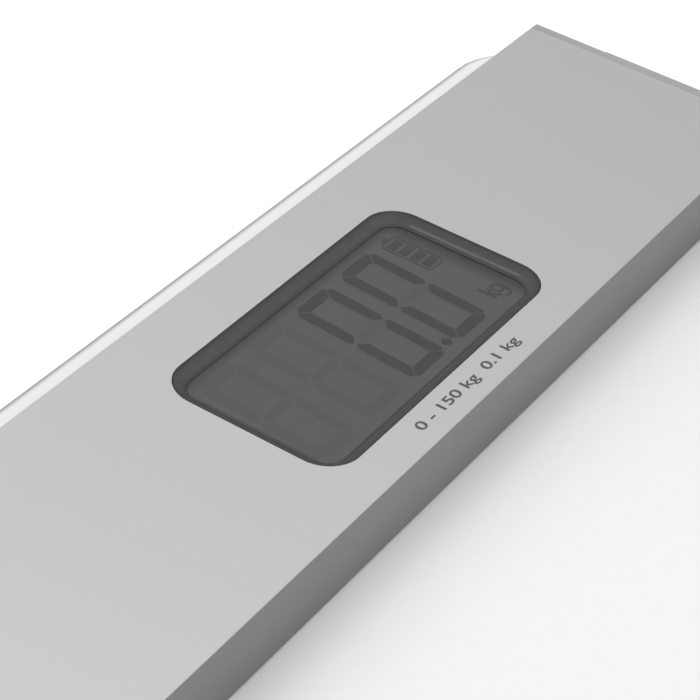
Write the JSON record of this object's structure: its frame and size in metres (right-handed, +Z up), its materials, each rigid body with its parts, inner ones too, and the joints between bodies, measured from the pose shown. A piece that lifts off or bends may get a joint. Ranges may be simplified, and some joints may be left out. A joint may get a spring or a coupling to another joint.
{
  "type": "digital bathroom scale",
  "caption": "Digital bathroom scale: a white glass platform on load-cell feet with a raised aluminium console that holds a large LCD, a battery drawer and a unit button.",
  "frame": {"origin": "on the floor under the middle of the platform", "axes": "+X along the console in reading direction, +Y away from the person on the scale, +Z up"},
  "size_m": [0.32, 0.35, 0.04],
  "materials": {
    "satin_glass": "satin white, back painted",
    "satin_aluminium": "bead blasted and anodised",
    "silver_plastic": "silver paint",
    "screw_steel": "nickel plated",
    "grey_plastic": "fine spark texture",
    "foam_tape": "matte foam",
    "bezel_plastic": "semi gloss",
    "display_lens": "clear, polished",
    "lcd_glass": "polarised grey",
    "white_plastic": "moulded",
    "dark_rubber": "matte",
    "board": "solder mask",
    "black_plastic": "moulded",
    "button_rubber": "soft touch",
    "contact_metal": "nickel plated",
    "cell_wrap": "plain wrap",
    "cable_sheath": "soft sheath",
    "gauge_film": "polyimide film",
    "cell_steel": "zinc plated"
  },
  "bodies": {
    "scale": {"battery_bay": "grey_plastic", "battery_contacts": "contact_metal", "battery_leads": "cable_sheath", "board_screws": "screw_steel", "cable_clips": "white_plastic", "cable_front_left": "cable_sheath", "cable_front_right": "cable_sheath", "cable_grommet": "dark_rubber", "cable_header": "white_plastic", "cable_rear_left": "cable_sheath", "cable_rear_right": "cable_sheath", "console_base_plate": "grey_plastic", "console_end_cap_left": "silver_plastic", "console_end_cap_right": "silver_plastic", "console_profile": "satin_aluminium", "console_tape": "foam_tape", "controller_chip": "black_plastic", "display_bezel": "bezel_plastic", "display_lens": "display_lens", "end_cap_screws": "screw_steel", "foot_base_front_left": "grey_plastic", "foot_base_front_right": "grey_plastic", "foot_base_rear_left": "grey_plastic", "foot_base_rear_right": "grey_plastic", "foot_housing_front_left": "grey_plastic", "foot_housing_front_right": "grey_plastic", "foot_housing_rear_left": "grey_plastic", "foot_housing_rear_right": "grey_plastic", "foot_pad_front_left": "dark_rubber", "foot_pad_front_right": "dark_rubber", "foot_pad_rear_left": "dark_rubber", "foot_pad_rear_right": "dark_rubber", "foot_tapes": "foam_tape", "lcd_holder": "white_plastic", "lcd_panel": "lcd_glass", "load_cell_front_left": "cell_steel", "load_cell_front_right": "cell_steel", "load_cell_rear_left": "cell_steel", "load_cell_rear_right": "cell_steel", "main_board": "board", "platform_glass": "satin_glass", "power_header": "white_plastic", "strain_gauges": "gauge_film", "unit_switch": "black_plastic", "zebra_strips": "dark_rubber"},
    "drawer": {"battery_drawer": "silver_plastic", "battery_link": "contact_metal", "battery_cells": "cell_wrap"},
    "button": {"unit_button": "button_rubber"}
  },
  "joints": [
    {"name": "battery_drawer_slide", "type": "slide", "parent": "scale", "child": "drawer", "axis": [1, 0, 0], "range_m": [0, 0.042]},
    {"name": "unit_button_press", "type": "slide", "parent": "scale", "child": "button", "axis": [0, -1, 0], "range_m": [0, 0.0012], "stiffness_N_per_m": 1500}
  ]
}
